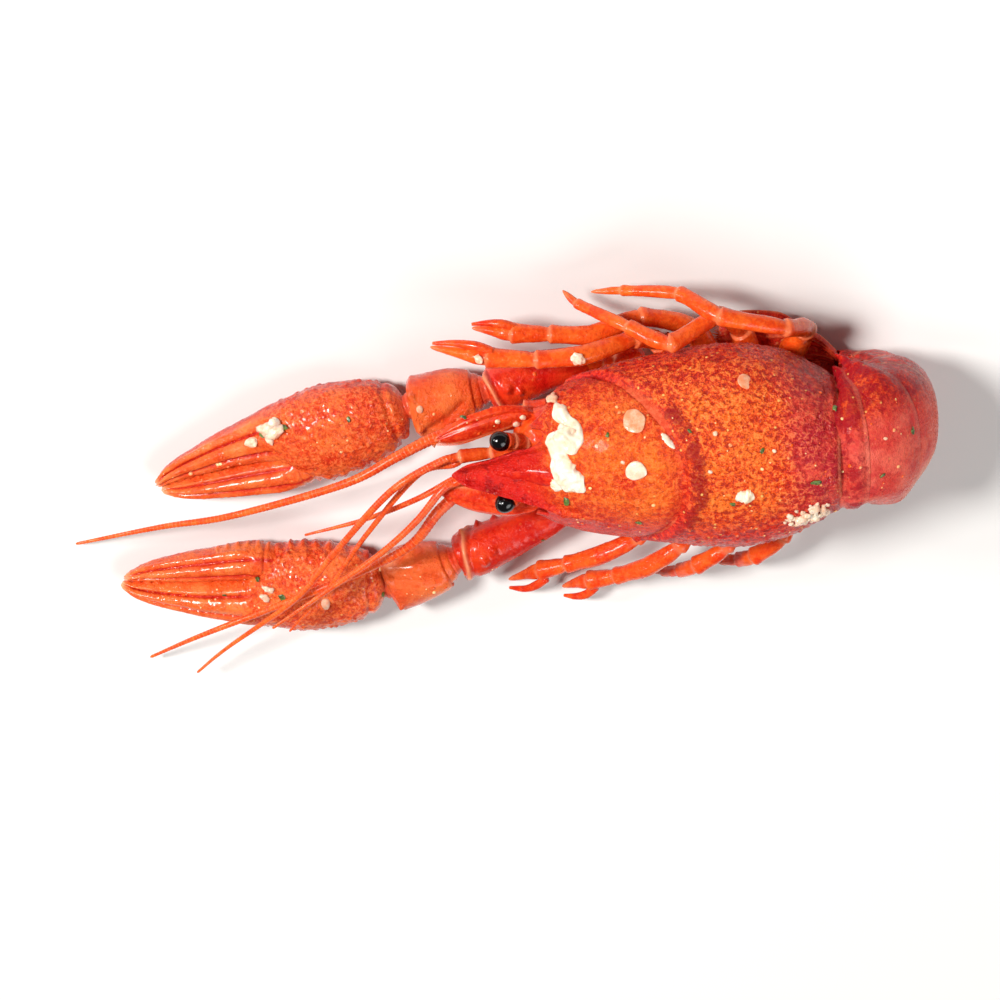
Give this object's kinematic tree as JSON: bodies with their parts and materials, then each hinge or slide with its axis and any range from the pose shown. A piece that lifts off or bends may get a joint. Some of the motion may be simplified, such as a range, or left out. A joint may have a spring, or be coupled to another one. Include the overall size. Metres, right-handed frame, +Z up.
{
  "type": "cooked crayfish",
  "caption": "Whole boiled crayfish in its shell, tail curled under the body, claws stretched forward.",
  "frame": {"origin": "bottom centre of the box round the whole animal, on the table it lies on", "axes": "+X from the head towards the tail, +Y to the animal's right, +Z up from the table"},
  "size_m": [0.1084, 0.0492, 0.0272],
  "materials": {
    "shell_orange": "boiled shell, orange-red, mottled, wet with butter",
    "shell_red": "boiled shell, deep red, wet with butter",
    "shell_pink": "boiled shell, pinkish red, wet with butter",
    "leg_red": "thin leg and feeler shell, red, glossy",
    "belly_cream": "soft cream-orange underside",
    "eye_black": "glossy black"
  },
  "bodies": {
    "root": {"carapace": "shell_orange", "underside": "belly_cream", "tail_ring_1": "shell_pink", "tail_ring_2": "shell_pink", "tail_ring_3": "shell_pink", "tail_ring_4": "shell_red", "tail_ring_5": "shell_red", "tail_ring_6": "shell_red", "telson": "shell_red", "tail_blade_inner_right": "shell_red", "tail_blade_inner_left": "shell_red", "tail_blade_outer_right": "shell_red", "tail_blade_outer_left": "shell_red", "eye_right": "eye_black", "eye_left": "eye_black", "feeler_long_right": "leg_red", "feeler_long_left": "leg_red", "feeler_short_right": "leg_red", "feeler_short_left": "leg_red", "feeler_fine_right": "leg_red", "feeler_fine_left": "leg_red", "feeler_scale_right": "shell_red", "feeler_scale_left": "shell_red", "jaw_leg_right": "leg_red", "jaw_leg_left": "leg_red", "claw_right_base": "leg_red", "claw_right_arm": "leg_red", "claw_right_wrist": "shell_orange", "claw_right_palm": "shell_orange", "claw_right_finger": "shell_orange", "claw_left_base": "leg_red", "claw_left_arm": "leg_red", "claw_left_wrist": "shell_orange", "claw_left_palm": "shell_orange", "claw_left_finger": "shell_orange", "leg_right_1": "leg_red", "leg_right_2": "leg_red", "leg_right_3": "leg_red", "leg_right_4": "leg_red", "leg_left_1": "leg_red", "leg_left_2": "leg_red", "leg_left_3": "leg_red", "leg_left_4": "leg_red", "leg_right_1_pincer": "leg_red", "leg_right_2_pincer": "leg_red", "leg_left_1_pincer": "leg_red", "leg_left_2_pincer": "leg_red"}
  },
  "joints": []
}
